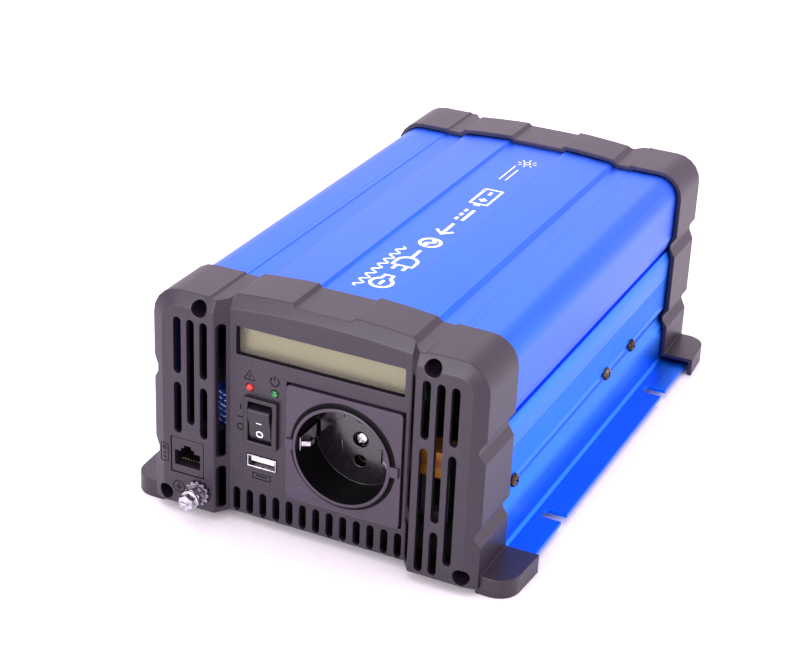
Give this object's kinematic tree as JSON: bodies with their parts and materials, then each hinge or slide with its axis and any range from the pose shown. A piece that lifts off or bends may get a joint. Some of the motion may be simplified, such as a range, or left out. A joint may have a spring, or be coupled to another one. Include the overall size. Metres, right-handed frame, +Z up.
{
  "type": "power inverter",
  "caption": "Long box inverter: ribbed extruded case with side flanges between two vented end caps, recessed mains outlet, display and rocker in front, fan and DC studs behind.",
  "frame": {"origin": "on the ground under the feet, midway along the overall length and across the overall width", "axes": "+Z up, +X across the case, -Y towards the end cap with the mains outlet, so that +Y is its length"},
  "size_m": [0.172, 0.281, 0.1016],
  "materials": {
    "anodised_case": "bright blue anodising over extrusion lines, satin",
    "cap_plastic": "dark plum grey moulding with a fine sparkling grain",
    "black_plastic": "black moulding, half gloss",
    "black_steel": "black zinc plated steel",
    "nickel_plate": "bright nickel plate",
    "brass_contact": "plain brass",
    "display_window": "clear acrylic pane",
    "display_panel": "unlit beige liquid crystal panel",
    "circuit_board": "green solder mask",
    "red_lens": "clear red lens",
    "green_lens": "clear green lens",
    "white_plastic": "white moulding, half gloss",
    "red_plastic": "red moulding, half gloss",
    "plain_aluminium": "mill finish",
    "ferrite": "dark sintered ferrite",
    "taped_winding": "copper winding under amber polyester tape",
    "capacitor_sleeve": "dark blue shrink sleeve over an aluminium can",
    "enamelled_copper": "enamelled copper wire"
  },
  "bodies": {
    "case": {"top_cover": "anodised_case", "base_extrusion": "anodised_case", "side_screw_left_1": "black_steel", "side_screw_left_2": "black_steel", "side_screw_left_3": "black_steel", "side_screw_right_1": "black_steel", "side_screw_right_2": "black_steel", "side_screw_right_3": "black_steel", "front_cap": "cap_plastic", "front_screw_lower_left": "black_steel", "front_screw_lower_right": "black_steel", "front_screw_upper_left": "black_steel", "front_screw_upper_right": "black_steel", "display_window": "display_window", "display_module": "display_panel", "display_board": "circuit_board", "fault_lamp": "red_lens", "power_lamp": "green_lens", "switch_frame": "black_plastic", "usb_shell": "nickel_plate", "usb_tongue": "white_plastic", "remote_jack": "black_plastic", "remote_jack_contacts": "brass_contact", "socket_body": "black_plastic", "socket_contact_upper": "brass_contact", "socket_contact_lower": "brass_contact", "socket_earth_strap": "nickel_plate", "socket_screw": "nickel_plate", "earth_screw": "nickel_plate", "earth_nut": "nickel_plate", "earth_lock_washer": "nickel_plate", "rear_cap": "cap_plastic", "rear_screw_lower_left": "black_steel", "rear_screw_lower_right": "black_steel", "rear_screw_upper_left": "black_steel", "rear_screw_upper_right": "black_steel", "fan_frame": "black_plastic", "terminal_insulator_positive": "red_plastic", "terminal_stud_positive": "brass_contact", "terminal_nut_positive": "nickel_plate", "terminal_insulator_negative": "black_plastic", "terminal_stud_negative": "brass_contact", "terminal_nut_negative": "nickel_plate", "main_board": "circuit_board", "heatsink_left": "plain_aluminium", "heatsink_right": "plain_aluminium", "transistor_left": "black_plastic", "transistor_right": "black_plastic", "transformer_core": "ferrite", "transformer_winding": "taped_winding", "input_capacitor_1": "capacitor_sleeve", "input_capacitor_2": "capacitor_sleeve", "output_capacitor": "capacitor_sleeve", "toroid_core": "ferrite", "toroid_winding": "enamelled_copper", "choke_core": "ferrite", "choke_coil": "taped_winding", "control_board": "circuit_board"},
    "switch_rocker": {"rocker": "black_plastic"},
    "fan": {"fan_rotor": "black_plastic"}
  },
  "joints": [
    {"name": "rocker_tilt", "type": "hinge", "parent": "case", "child": "switch_rocker", "pos_m": [-0.0247, -0.1195, 0.0484], "axis": [-1, 0, 0], "range_deg": [0, 22]},
    {"name": "fan_spin", "type": "hinge", "parent": "case", "child": "fan", "pos_m": [0, 0.1091, 0.0575], "axis": [0, 1, 0], "continuous": true}
  ]
}
